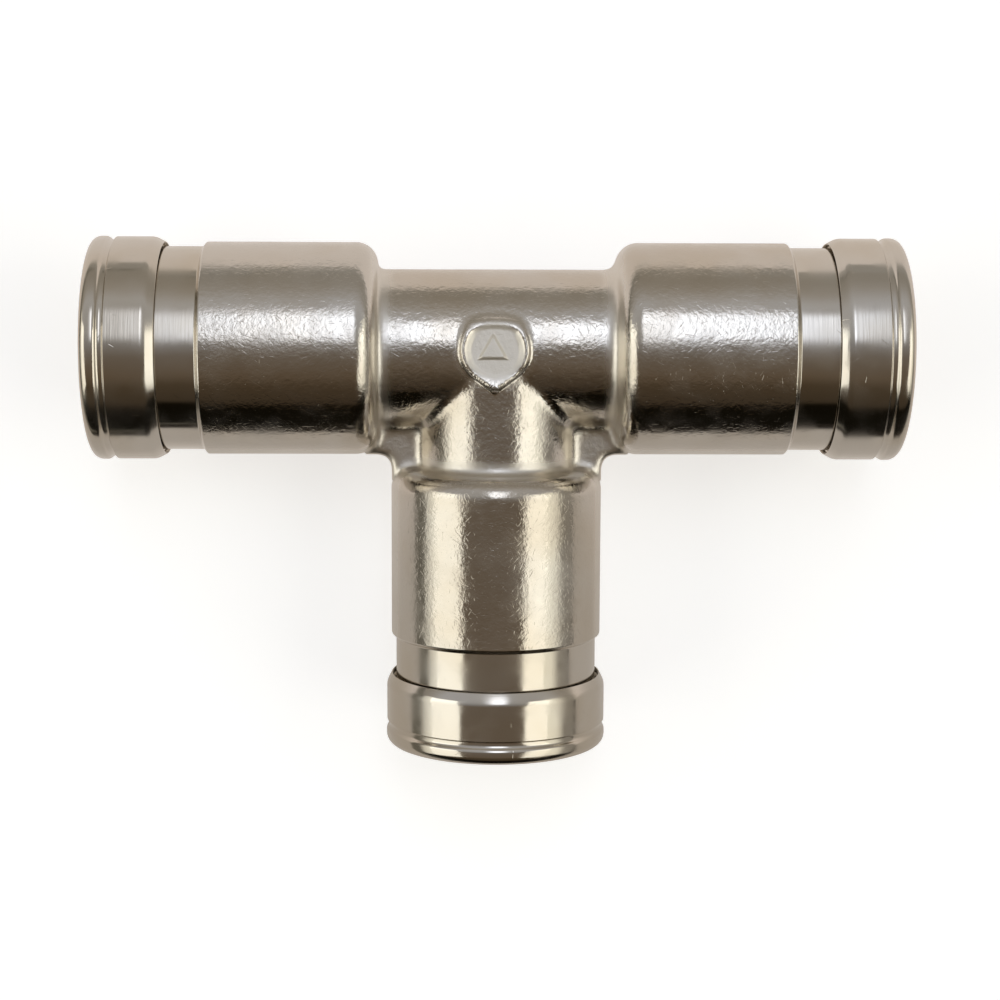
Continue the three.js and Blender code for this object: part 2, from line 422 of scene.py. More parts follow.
def makeTurnedNickel():
    material, tree, shader = newMaterial("turned nickel", 1)
    warmth = useGroup(tree, patches, Size=7.0, Seed=2.0)["Mask"]
    gloss = useGroup(tree, patches, Size=2.5, Seed=5.0)["Mask"]
    wave = useGroup(tree, tumbling, Size=turnedNickel["waveSize"], Rough=0.4)["Height"]
    line = useGroup(tree, turning, Pitch=turnedNickel["linePitch"], Drift=0.35)["Height"]
    nick = useGroup(tree, nicks, **turnedNickel["nick"])
    colour = mixColour(tree, warmth, turnedNickel["colour"], turnedNickel["warm"])
    feed(tree, shader.inputs["Base Color"], colour)
    roughness = smoothRange(tree, gloss, 0.0, 1.0, *turnedNickel["roughness"])
    feed(tree, shader.inputs["Roughness"], roughness)
    bumps(tree, shader, [
        (wave, turnedNickel["waveDepth"]),
        (line, turnedNickel["lineDepth"]),
        (nick["Mask"], -turnedNickel["nickDepth"]),
    ])
    return material


# Finishes of the small pieces inside: two colours in patches, and a fine relief.
bareBrass = {
    "metallic": 1,
    "colours": [(0.66, 0.45, 0.18, 1), (0.5, 0.32, 0.12, 1)],
    "patch": {"Size": 2.4, "Seed": 8.0},
    "roughness": (0.18, 0.32),
    "relief": (turning, {"Pitch": 0.1, "Drift": 0.08}),
    "depth": 0.001,
}
paleBrass = {
    "metallic": 1,
    "colours": [(0.72, 0.55, 0.3, 1), (0.58, 0.42, 0.2, 1)],
    "patch": {"Size": 2.4, "Seed": 8.0},
    "roughness": (0.18, 0.32),
    "relief": (turning, {"Pitch": 0.08, "Drift": 0.08}),
    "depth": 0.0008,
}
springSteel = {
    "metallic": 1,
    "colours": [(0.5, 0.49, 0.47, 1), (0.36, 0.34, 0.32, 1)],
    "patch": {"Size": 0.8, "Seed": 3.0},
    "roughness": (0.25, 0.4),
    "relief": (tumbling, {"Size": 0.12, "Rough": 0.6}),
    "depth": 0.001,
}
acetal = {
    "metallic": 0,
    "colours": [(0.8, 0.79, 0.74, 1), (0.74, 0.72, 0.66, 1)],
    "patch": {"Size": 1.5, "Seed": 6.0},
    "roughness": (0.35, 0.5),
    "relief": (turning, {"Pitch": 0.1, "Drift": 0.05}),
    "depth": 0.001,
}
nitrileRubber = {
    "metallic": 0,
    "colours": [(0.012, 0.012, 0.013, 1), (0.03, 0.03, 0.031, 1)],
    "patch": {"Size": 0.9, "Seed": 9.0},
    "roughness": (0.35, 0.6),
    "relief": (tumbling, {"Size": 0.09, "Rough": 0.6}),
    "depth": 0.002,
}


def makeSmallFinish(name, values):
    material, tree, shader = newMaterial(name, values["metallic"])
    patch = useGroup(tree, patches, **values["patch"])["Mask"]
    group, settings = values["relief"]
    relief = useGroup(tree, group, **settings)["Height"]
    feed(tree, shader.inputs["Base Color"], mixColour(tree, patch, *values["colours"]))
    feed(tree, shader.inputs["Roughness"], smoothRange(tree, patch, 0.0, 1.0, *values["roughness"]))
    bumps(tree, shader, [(relief, values["depth"])])
    return material


forgedFinish = makeForgedNickel()
turnedFinish = makeTurnedNickel()
sleeveBrass = makeSmallFinish("bare brass", bareBrass)
colletBrass = makeSmallFinish("collet brass", paleBrass)
ringSteel = makeSmallFinish("spring steel", springSteel)
ringAcetal = makeSmallFinish("acetal", acetal)
sealRubber = makeSmallFinish("nitrile rubber", nitrileRubber)
print("finishes made")


teeBody = {
    "neckRadius": 5.15,
    "neckFillet": (0.06, 1.01),  # along the necks' creases, where they are flat and where they are steep
    "shoulderFace": 7.75,
    "shoulderRounding": 1.4,
    "shoulderFillet": {"left": 0.55, "right": 0.9, "branch": 0.55},
    "webHalf": 1.5,  # half the thickness of the web in the corners
    "webEdge": 6.85,
    "webCorner": 1.1,
    "webFillet": 0.7,
    "webFade": 0.7,  # the web's fillet narrows over this width, down to the next value at its edge
    "webEdgeFillet": 0.12,
    "webRounding": 0.5,
    "webOverlap": 0.8,  # how far the web runs into the barrels
    "passageRadius": 3.25,
    "passageFillet": 0.06,
    "voxel": 0.17,
    "fineFrom": 3.5,  # above this height and within this radius the mesh is finer, for the boss
    "fineRadius": 3.1,
    "forgedEnd": 9.25,  # up to here the forging is one blended surface
    "turnedFinish": 18.85,  # from here outwards the outside is turned
    "boreFinish": (9.2, 6),  # and so is the inside, from this station and within this radius
    "roughNeck": (7.2, 6.2),  # the forging is roughest inside this
}

portBore = {
    "barrelEnd": 18.78,
    "turnedRadius": 6.6,
    "turnedStart": 19.0,
    "sleeveRadius": 5.68,
    "sleeveSeat": 16.2,
    "sealRadius": 5.4,
    "sealSeat": 13.4,
    "tubeRadius": 4.12,
    "tubeStop": 9.3,
}


# From the forging each port is turned: out along the barrel, round its end and back down the bore.
def portCorners():
    size = portBore
    return [
        (barrelRadius, teeBody["forgedEnd"] + 0.45, 0),
        (barrelRadius, size["barrelEnd"], 0.08),
        (size["turnedRadius"], size["turnedStart"], 0.05),
        (size["turnedRadius"], bodyEnd - 0.25, 0.08),
        (size["turnedRadius"] - 0.3, bodyEnd, 0.08),
        (size["sleeveRadius"] + 0.2, bodyEnd, 0.05),
        (size["sleeveRadius"], bodyEnd - 0.2, 0.05),
        (size["sleeveRadius"], size["sleeveSeat"], 0.05),
        (size["sealRadius"], size["sleeveSeat"], 0.05),
        (size["sealRadius"], size["sealSeat"], 0.1),
        (size["tubeRadius"] + 0.3, size["sealSeat"], 0.05),
        (size["tubeRadius"], size["sealSeat"] - 0.3, 0.1),
        (size["tubeRadius"], size["tubeStop"], 0.08),
        (teeBody["passageRadius"] + 0.35, size["tubeStop"], 0),
    ]


markingBoss = {
    "centre": (-0.2, 0.25),  # from the crossing, with the back upwards
    "radius": 2.14,
    "tipAngle": 37,  # slope of the two straight sides that meet in the lower tip
    "backFlat": 1.85,
    "backCorner": 0.5,
    "faceRadius": 1.45,
    "faceHeight": 5.2,
    "faceTilt": 0.14,  # the face falls towards the back
    "stepHeight": 0.05,  # from the face up to the rim
    "stepRadius": 1.7,
    "rimStart": 1.6,
    "rimSlope": (0.08, 0.44),  # towards the tip and towards the sides
    "backSlope": 0.13,  # the rim's fall at the back, beyond the face's own
    "backTurn": (0.45, 0.8),  # where a direction from its centre turns to the back, as a sine
    "tipTurn": (0.2, 0.6),
    "foot": 3,  # the boss is only there above this height
    "rounding": (0.32, 0.16),  # of the edge at the sides and towards the tip
    "fillet": (0.4, 0.24),  # to the neck at the sides and towards the tip
    "filletTurn": (0.2, 1.1),  # where the one changes into the other, in millimetres
    "backFillet": 0.7,
    "backFilletTurn": (0.6, 2.0),
    "insideFillet": 0.02,
    "insideTurn": (-0.6, -0.15),  # millimetres outside its outline
    "markHeight": 0.17,
    "markSize": 1.0,
    "markAside": -0.12,
    "markEdge": 0.09,
}


def smoothMin(first, second, blend):
    share = np.clip(0.5 + 0.5 * (second - first) / blend, 0, 1)
    return second + (first - second) * share - blend * share * (1 - share)


def smoothMax(first, second, blend):
    return -smoothMin(-first, -second, blend)


def smoothStep(value, low, high):
    share = np.clip((value - low) / (high - low), 0, 1)
    return share * share * (3 - 2 * share)


# The first of a pair where the share is nought, the second where it is one.
def graded(pair, share):
    return pair[0] + (pair[1] - pair[0]) * share


# Distance from the barrel of one port, whose shoulder is rounded.
def barrelDistance(points, outward):
    along = points @ outward
    around = np.linalg.norm(points - np.outer(along, outward), axis=1)
    rounding = teeBody["shoulderRounding"]
    radial = around - (barrelRadius - rounding)
    inward = teeBody["shoulderFace"] + rounding - along
    outside = np.hypot(np.maximum(radial, 0), np.maximum(inward, 0))
    return outside + np.minimum(np.maximum(radial, inward), 0) - rounding


# Distance from the two crossing necks. The branch's neck ends in a flat dome behind the run's axis.
def neckDistance(points):
    x, y, z = points.T
    behind = 2 * np.maximum(y, 0)
    runRadius = np.hypot(y, z)
    branchRadius = np.sqrt(x * x + behind * behind + z * z)
    run = runRadius - teeBody["neckRadius"]
    branch = branchRadius - teeBody["neckRadius"]
    facing = z * z / np.maximum(runRadius * branchRadius, 1e-6)
    return smoothMin(run, branch, graded(teeBody["neckFillet"], np.clip(1 - facing, 0, 1)))


def webDistance(points):
    across, along, z = np.abs(points[:, 0]), -points[:, 1], np.abs(points[:, 2])
    corner = smoothMin(across - teeBody["webEdge"], along - teeBody["webEdge"], teeBody["webCorner"])
    reach = teeBody["shoulderFace"] + teeBody["webOverlap"]
    outline = np.maximum(np.maximum(corner, -along), np.maximum(across - reach, along - reach))
    return smoothMax(outline, z - teeBody["webHalf"], teeBody["webRounding"])


# How wide the web blends into the barrels. It narrows towards the web's edge.
def webBlend(points):
    inward = np.minimum(np.abs(points[:, 0]), -points[:, 1])
    share = smoothStep(inward, teeBody["webEdge"], teeBody["webEdge"] - teeBody["webFade"])
    return graded((teeBody["webEdgeFillet"], teeBody["webFillet"]), share)


# How far a point lies outside the boss's outline: round, with a pointed lower tip and a flatter back.
def bossOutline(points):
    x, y = points[:, 0] - markingBoss["centre"][0], points[:, 1] - markingBoss["centre"][1]
    tip = math.radians(markingBoss["tipAngle"])
    sides = np.abs(x) * math.sin(tip) - y * math.cos(tip)
    inTip = (y < 0) & (np.abs(x) * math.cos(tip) < -y * math.sin(tip))
    outline = np.where(inTip, sides, np.hypot(x, y)) - markingBoss["radius"]
    return smoothMax(outline, y - markingBoss["backFlat"], markingBoss["backCorner"])


# Distance from the boss: a tilted face, a low step, a rim that rises outwards and a raised triangle.
def bossDistance(points, outline):
    x, y = points[:, 0] - markingBoss["centre"][0], points[:, 1] - markingBoss["centre"][1]
    radius = np.hypot(x, y)
    sideways, backwards = np.abs(x) / np.maximum(radius, 0.1), y / np.maximum(radius, 0.1)
    atBack = smoothStep(backwards, *markingBoss["backTurn"])
    step = smoothStep(radius, markingBoss["faceRadius"], markingBoss["stepRadius"])
    height = markingBoss["faceHeight"] - markingBoss["faceTilt"] * y
    height = height + markingBoss["stepHeight"] * step * (1 - atBack)
    low, high = markingBoss["rimSlope"]
    slope = (low + (high - low) * sideways ** 2) * (1 - atBack) - markingBoss["backSlope"] * atBack
    height = height + slope * smoothMax(radius - markingBoss["rimStart"], 0 * radius, 0.15)
    third = math.pi / 3
    aside = np.abs(x - markingBoss["markAside"])
    mark = np.maximum(aside * math.sin(third) + y * math.cos(third), -y) - markingBoss["markSize"] / 2
    raised = 1 - smoothStep(mark, -markingBoss["markEdge"], markingBoss["markEdge"])
    height = height + markingBoss["markHeight"] * raised
    rounding = graded(markingBoss["rounding"], smoothStep(-backwards, *markingBoss["tipTurn"]))
    rise = smoothMax(outline, points[:, 2] - height, rounding)
    return np.maximum(rise, markingBoss["foot"] - points[:, 2])


# How far out along its port a point of the body lies.
def stationOf(co):
    return max(abs(co.x), -co.y)


satinShares = {
    "rim": 0.3,  # share on the boss's rim; its face is fully satin
    "rimFade": (2.9, 2.5),  # each pair is where the satin starts and where it is whole
    "faceFade": (1.95, 1.6),
    "corner": 0.5,  # share at the shoulders and on the webs
    "shoulderIn": (6.5, 7.2),
    "shoulderOut": (8.3, 7.8),
    "webIn": (4.6, 5.4),
    "webHeight": (3.0, 2.2),
}


# How satin the body is at a point: fully on the boss's face, less on its rim and in the corners.
def satinAt(co):
    share = satinShares
    radius = math.hypot(co.x - markingBoss["centre"][0], co.y - markingBoss["centre"][1])
    if co.z > teeBody["fineFrom"] and radius < share["rimFade"][0]:
        rim = share["rim"] * smoothStep(radius, *share["rimFade"])
        return float(graded((rim, 1), smoothStep(radius, *share["faceFade"])))
    along, across = stationOf(co), min(abs(co.x), -co.y)
    corner = smoothStep(along, *share["shoulderIn"]) * smoothStep(along, *share["shoulderOut"])
    web = smoothStep(across, *share["webIn"]) * smoothStep(abs(co.z), *share["webHeight"])
    return share["corner"] * float(max(corner, web))


# The forged outside of the body as a distance from any point, in millimetres from the crossing.
def forgedDistance(points):
    distance = neckDistance(points)
    for port, outward in outwards.items():
        barrel = barrelDistance(points, np.array(outward))
        distance = smoothMin(distance, barrel, teeBody["shoulderFillet"][port])
    distance = smoothMin(distance, webDistance(points), webBlend(points))
    outline = bossOutline(points)
    fillet = graded(markingBoss["fillet"], smoothStep(-points[:, 1], *markingBoss["filletTurn"]))
    atBack = smoothStep(points[:, 1], *markingBoss["backFilletTurn"])
    fillet = graded((fillet, markingBoss["backFillet"]), atBack)
    atEdge = smoothStep(outline, *markingBoss["insideTurn"])
    fillet = graded((markingBoss["insideFillet"], fillet), atEdge)
    return smoothMin(distance, bossDistance(points, outline), fillet)


# The three air passages where they meet.
def passageDistance(points):
    x, y, z = points.T
    run = np.hypot(y, z) - teeBody["passageRadius"]
    branch = np.where(y < 0, np.hypot(x, z), np.sqrt(x * x + y * y + z * z)) - teeBody["passageRadius"]
    return smoothMin(run, branch, teeBody["passageFillet"])


def slopeOf(distance, points, reach=0.01):
    slope = np.empty_like(points)
    for axis in range(3):
        step = np.zeros(3)
        step[axis] = reach
        slope[:, axis] = (distance(points + step) - distance(points - step)) / (2 * reach)
    return slope


# Moves the vertices on to the surface where the distance is nought, in short strides.
def settle(bm, distance, rounds=6, flattest=0.3, longest=0.2):
    points = np.array([vert.co for vert in bm.verts])
    for unused in range(rounds):
        slope = slopeOf(distance, points)
        steepness = np.maximum((slope * slope).sum(axis=1), flattest)
        stride = np.clip(distance(points) / steepness, -longest, longest)
        points -= slope * stride[:, None]
    for vert, point in zip(bm.verts, points):
        vert.co = point


def remeshed(bm, voxel):
    piece = newObject(bm, "remesh")
    remesh = piece.modifiers.new("remesh", "REMESH")
    remesh.mode = "VOXEL"
    remesh.voxel_size = voxel
    made = appliedMesh(piece)
    dropObject(piece)
    return made


# One solid turned about +Z from a profile that starts and ends on the axis.
def addTurnedSolid(bm, corners, port):
    part = bmesh.new()
    drawProfile(part, corners)
    onAxis = [edge for edge in part.edges if all(abs(v.co.x) < 1e-6 for v in edge.verts)]
    bmesh.ops.delete(part, geom=onAxis, context="EDGES")
    turnProfile(part, steps=96)
    bmesh.ops.transform(part, matrix=portTurn(port), verts=part.verts)
    addMesh(bm, part)


# Cuts all three ports off square at a station.
def cutPorts(bm, station):
    for outward in outwards.values():
        bmesh.ops.bisect_plane(
            bm, geom=bm.verts[:] + bm.edges[:] + bm.faces[:], dist=1e-4,
            plane_co=outward * station, plane_no=outward, clear_outer=True,
        )


# A rough solid, remeshed and then settled on to the forged shape.
def makeForging():
    bm = bmesh.new()
    end = teeBody["forgedEnd"] + 1.5
    for port in outwards:
        addTurnedSolid(bm, [
            (0, 0, 0),
            (teeBody["neckRadius"], 0, 0),
            (teeBody["neckRadius"], teeBody["shoulderFace"], 0),
            (barrelRadius, teeBody["shoulderFace"], teeBody["shoulderRounding"]),
            (barrelRadius, end, 0),
            (0, end, 0),
        ], port)
    edge, reach = teeBody["webEdge"], teeBody["shoulderFace"] + teeBody["webOverlap"]
    for side in (-1, 1):
        for wide, deep in ((edge, reach), (reach, edge)):
            middle = Matrix.Translation((side * wide / 2, -deep / 2, 0))
            size = Matrix.Diagonal((wide, deep, 2 * teeBody["webHalf"], 1))
            bmesh.ops.create_cube(bm, size=1, matrix=middle @ size)
    radius, depth = markingBoss["radius"], 3
    middle = Matrix.Translation((*markingBoss["centre"], markingBoss["faceHeight"] + 0.1 - depth / 2))
    bmesh.ops.create_cone(
        bm, cap_ends=True, segments=48, radius1=radius + 0.2, radius2=radius, depth=depth, matrix=middle,
    )
    forging = remeshed(bm, teeBody["voxel"])
    lowest, widest = teeBody["fineFrom"], teeBody["fineRadius"]
    fine = [
        edge for edge in forging.edges
        if all(v.co.z > lowest and v.co.xy.length < widest for v in edge.verts)
    ]
    bmesh.ops.subdivide_edges(forging, edges=fine, cuts=3, use_grid_fill=True)
    settle(forging, forgedDistance)
    cutPorts(forging, teeBody["forgedEnd"])
    return forging


def makePassages():
    bm = bmesh.new()
    end = teeBody["forgedEnd"] + 1.5
    for port in outwards:
        addTurnedSolid(bm, [
            (0, 0, 0),
            (teeBody["passageRadius"], 0, 0),
            (teeBody["passageRadius"], end, 0),
            (0, end, 0),
        ], port)
    passages = remeshed(bm, 2 * teeBody["voxel"])
    settle(passages, passageDistance)
    cutPorts(passages, portBore["tubeStop"])
    bmesh.ops.reverse_faces(passages, faces=passages.faces)
    return passages


# Turns one port from its profile and joins it to the forging's open ring and to the passage's.
def joinPort(bm, port, between=5):
    turn = portTurn(port)
    bmesh.ops.transform(bm, matrix=turn.inverted(), verts=bm.verts)
    lowest = teeBody["forgedEnd"] - 0.25
    rims = [edge for edge in bm.edges if edge.is_boundary and min(v.co.z for v in edge.verts) > lowest]
    for vert in {v for edge in rims for v in edge.verts if v.co.xy.length > between}:
        vert.co.xy = vert.co.xy.normalized() * barrelRadius
    part = bmesh.new()
    drawProfile(part, portCorners(), closed=False)
    turnProfile(part)
    known = set(bm.edges)
    addMesh(bm, part)
    rims += [edge for edge in bm.edges if edge not in known and edge.is_boundary]
    for side in (1, -1):
        pair = [edge for edge in rims if (edge.verts[0].co.xy.length - between) * side > 0]
        bmesh.ops.bridge_loops(bm, edges=pair)
    bmesh.ops.transform(bm, matrix=turn, verts=bm.verts)


def makeTeeBody():
    bm = makeForging()
    addMesh(bm, makePassages())
    for port in outwards:
        joinPort(bm, port)
    bmesh.ops.remove_doubles(bm, verts=bm.verts, dist=1e-4)
    bmesh.ops.recalc_face_normals(bm, faces=bm.faces)
    boreStart, boreRadius = teeBody["boreFinish"]
    for face in bm.faces:
        middle = face.calc_center_median()
        along = stationOf(middle)
        inBore = along > boreStart and min(middle.yz.length, middle.xz.length) < boreRadius
        face.material_index = 1 if along > teeBody["turnedFinish"] or inBore else 0
    writeLayer(bm, "station", stationOf)
    writeLayer(bm, "satin", satinAt)
    writeLayer(bm, "neck", lambda co: float(smoothStep(stationOf(co), *teeBody["roughNeck"])))
    place = Matrix.Scale(mm, 4) @ Matrix.Translation(crossing)
    bmesh.ops.transform(bm, matrix=place, verts=bm.verts)
    piece = finishPiece(bm, "tee_body_forging", [forgedFinish, turnedFinish], sharpAngle=50)
    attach(piece, "tee")
    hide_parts("tee_body")
    print("tee body made:", len(piece.data.polygons), "faces")


tubeSeal = {"sectionRadius": 0.74, "middleRadius": 4.6, "station": 14.24}


def makeTubeSeal(port):
    bm = bmesh.new()
    drawRound(bm, tubeSeal["middleRadius"], tubeSeal["station"], tubeSeal["sectionRadius"], 28)
    turnProfile(bm)
    mount(bm, "tube_seal", port, "tee", sealRubber)


backupRing = {"bore": 4.12, "outer": 5.35, "start": 15.08, "end": 16.15, "rounding": 0.12}


def makeBackupRing(port):
    size = backupRing
    bm = bmesh.new()
    drawProfile(bm, [
        (size["bore"], size["start"], size["rounding"]),
        (size["outer"], size["start"], size["rounding"]),
        (size["outer"], size["end"], size["rounding"]),
        (size["bore"], size["end"], size["rounding"]),
    ])
    turnProfile(bm)
    mount(bm, "backup_ring", port, "tee", ringAcetal)


retainerSleeve = {
    "outer": 5.63,
    "start": 16.25,
    "end": 22.5,
    "bore": 4.97,
    "chamber": 5.3,
    "cone": (19.3, 20.35),  # closes the collet's head when it is pulled out
}


def makeRetainerSleeve(port):
    size = retainerSleeve
    bm = bmesh.new()
    drawProfile(bm, [
        (size["bore"], size["start"], 0.08),
        (size["outer"], size["start"], 0.1),
        (size["outer"], size["end"], 0.1),
        (size["bore"] + 0.2, size["end"], 0.03),
        (size["bore"], size["end"] - 0.2, 0.05),
        (size["bore"], size["cone"][1], 0.1),
        (size["chamber"], size["cone"][0], 0.1),
        (size["chamber"], size["start"] + 0.3, 0.05),
        (size["bore"], size["start"] + 0.3, 0.05),
    ])
    turnProfile(bm)
    mount(bm, "retainer_sleeve", port, "tee", sleeveBrass)


collet = {
    "bore": 4.12,
    "headStart": 18.2,
    "headRadius": 5.18,
    "toothRadius": 3.93,
    "sleeve": 4.87,
    "groove": (24.35, 24.85),  # for the snap ring
    "grooveRadius": 4.6,
    "flange": 5.5,
    "flangeFoot": 25.75,
    "slots": 6,
    "slotWidth": 0.8,
    "slotEnd": 22.4,
}


def makeColletBlank():
    size = collet
    head = size["headStart"]
    bm = bmesh.new()
    drawProfile(bm, [
        (size["bore"], head, 0.05),
        (size["headRadius"], head, 0.2),
        (size["headRadius"], head + 0.9, 0.12),
        (size["sleeve"], head + 2, 0.3),
        (size["sleeve"], size["groove"][0], 0.03),
        (size["grooveRadius"], size["groove"][0], 0.03),
        (size["grooveRadius"], size["groove"][1], 0.03),
        (size["sleeve"], size["groove"][1], 0.03),
        (size["sleeve"], size["flangeFoot"], 0.05),
        (size["flange"], size["flangeFoot"], 0.06),
        (size["flange"], portLength, 0.15),
        (size["bore"] + 0.4, portLength, 0.12),
        (size["bore"], portLength - 0.4, 0.12),
        (size["bore"], head + 1.2, 0.05),
        (size["toothRadius"], head + 0.5, 0.015),
    ])
    turnProfile(bm)
    return bm


# One cutter that passes through both sides of the collet, round at the end of the slot.
def makeSlotCutter(turn):
    bm = bmesh.new()
    length = collet["slotEnd"] - collet["headStart"] + 1
    middle = (collet["slotEnd"] + collet["headStart"] - 1) / 2
    size = Matrix.Diagonal((4 * collet["headRadius"], collet["slotWidth"], length, 1))
    bmesh.ops.create_cube(bm, size=1, matrix=Matrix.Translation((0, 0, middle)) @ size)
    rounded = [
        edge for edge in bm.edges
        if all(v.co.z > middle for v in edge.verts) and abs(edge.verts[0].co.x - edge.verts[1].co.x) > 1
    ]
    bmesh.ops.bevel(
        bm, geom=rounded, offset=collet["slotWidth"] / 2 - 0.01, offset_type="OFFSET", segments=6,
        profile=0.5, affect="EDGES", material=-1,
    )
    bmesh.ops.rotate(bm, cent=(0, 0, 0), matrix=Matrix.Rotation(turn, 3, "Z"), verts=bm.verts)
    return bm


def makeCollet(port):
    blank = newObject(makeColletBlank(), "collet blank")
    pairs = collet["slots"] // 2
    cutters = []
    for pair in range(pairs):
        cutter = newObject(makeSlotCutter((pair + 0.5) / pairs * math.pi), "slot cutter")
        cut = blank.modifiers.new("slot", "BOOLEAN")
        cut.operation = "DIFFERENCE"
        cut.solver = "EXACT"
        cut.object = cutter
        cutters.append(cutter)
    bm = appliedMesh(blank)
    for piece in [blank] + cutters:
        dropObject(piece)
    mount(bm, "collet", port, "collet_" + port, colletBrass)


snapRing = {"wire": 0.2, "radius": 4.89, "station": 24.6, "opening": 40}


def makeSnapRing(port):
    bm = bmesh.new()
    drawRound(bm, snapRing["radius"], snapRing["station"], snapRing["wire"], 20, filled=True)
    opening = math.radians(snapRing["opening"])
    bmesh.ops.rotate(bm, cent=(0, 0, 0), matrix=Matrix.Rotation(opening / 2, 3, "Z"), verts=bm.verts)
    bmesh.ops.spin(
        bm, geom=bm.verts[:] + bm.edges[:] + bm.faces[:], cent=(0, 0, 0), axis=(0, 0, 1),
        angle=math.tau - opening, steps=120,
    )
    bmesh.ops.remove_doubles(bm, verts=bm.verts, dist=1e-5)
    bmesh.ops.recalc_face_normals(bm, faces=bm.faces)
    mount(bm, "snap_ring", port, "collet_" + port, ringSteel)


releaseCap = {
    "skirtInner": 6.72,
    "skirtRadius": capRadius - 0.03,
    "mouth": 6.84,  # radius of the skirt's edge, which stands clear of the body
    "mouthDepth": 0.5,
    "edgeWidth": 0.62,  # the slope on the skirt's outer edge
    "grooveRadius": capRadius - 0.22,
    "grooveStart": 24.6,
    "beadStart": 25.2,
    "webInside": 24.9,
    "webOutside": 25.7,
    "rim": 5.6,
    "bore": 4.97,
    "endRounding": 0.62,
}


def makeReleaseCap(port):
    size = releaseCap
    bm = bmesh.new()
    drawProfile(bm, [
        (size["mouth"], skirtEdge, 0.04),
        (size["mouth"] + 0.06, skirtEdge, 0.04),
        (size["skirtRadius"], skirtEdge + size["edgeWidth"], 0.22),
        (size["skirtRadius"], size["grooveStart"], 0.03),
        (size["grooveRadius"], size["grooveStart"] + 0.07, 0.05),
        (size["grooveRadius"], size["beadStart"] - 0.22, 0.12),
        (capRadius, size["beadStart"], 0.12),
        (capRadius, portLength, size["endRounding"]),
        (size["rim"], portLength, 0.1),
        (size["rim"], size["webOutside"], 0.04),
        (size["bore"], size["webOutside"], 0.05),
        (size["bore"], size["webInside"], 0.05),
        (size["skirtInner"], size["webInside"], 0.1),
        (size["skirtInner"], skirtEdge + size["mouthDepth"], 0.05),
        (size["mouth"], skirtEdge + size["mouthDepth"] - 0.15, 0.03),
    ], segments=6)
    turnProfile(bm, steps=180)
    mount(bm, "release_cap", port, "cap_" + port, turnedFinish)


makeTeeBody()
for port in outwards:
    makeTubeSeal(port)
    makeBackupRing(port)
    makeRetainerSleeve(port)
    makeCollet(port)
    makeSnapRing(port)
    makeReleaseCap(port)
    print("port made:", port)


studio = {
    "floorSize": 3.0,
    "floorDrop": 0.00005,
    "glowRange": (80.0, 220.0),  # millimetres from the middle
    "glowStrength": (0.55, 1.0),  # the floor's own light, near the fitting and far from it
    "floorColour": (0.9, 0.9, 0.9, 1),
    "sheetBack": 70.0,  # edges of the pale sheet that the metal mirrors, in millimetres
    "sheetFront": -75.0,
    "sheetLeft": -75.0,
    "backBlur": 4.0,
    "frontBlur": 15.0,
    # painted shade: the sheet the metal mirrors is darker towards its front, as if that side lay in
    # shade
    "sheetShadeFade": (-12.0, 9.0),  # the sheet's tone changes here, from its front to its back
    "shadedFrontTone": (0.5, 0.462, 0.42, 1),
    "backTone": (0.75, 0.685, 0.635, 1),
    "beyondBack": (0.34, 0.32, 0.29, 1),
    "beyondFront": (0.02, 0.016, 0.012, 1),
    "beyondLeft": (0.16, 0.15, 0.125, 1),
    "lampDistance": 0.5,
}

# Each lamp's middle is given by its angles from straight above, sideways and towards the back.
lamps = {
    "left softbox": {"aside": -55, "back": -10, "width": 0.5, "height": 0.285, "radiance": 1.3},
    "right softbox": {"aside": 43, "back": -10, "width": 0.5, "height": 0.215, "radiance": 1.4},
}
lampTint = (1, 1, 0.92)


def addLamp(name, values):
    light = bpy.data.lights.new(name, "AREA")
    light.shape = "RECTANGLE"
    light.size = values["width"]
    light.size_y = values["height"]
    area = values["width"] * values["height"]
    light.energy = values["radiance"] * math.pi * area
    light.color = lampTint
    lamp = bpy.data.objects.new(name, light)
    bpy.context.collection.objects.link(lamp)
    aside, back = math.radians(values["aside"]), math.radians(values["back"])
    upwards = Vector((0, math.sin(back), math.cos(back)))
    direction = Vector((math.sin(aside), 0, 0)) + upwards * math.cos(aside)
    lamp.location = crossing * mm + direction * studio["lampDistance"]
    lamp.rotation_euler = (-direction).to_track_quat("-Z", "Y").to_euler()
    lamp.visible_camera = False


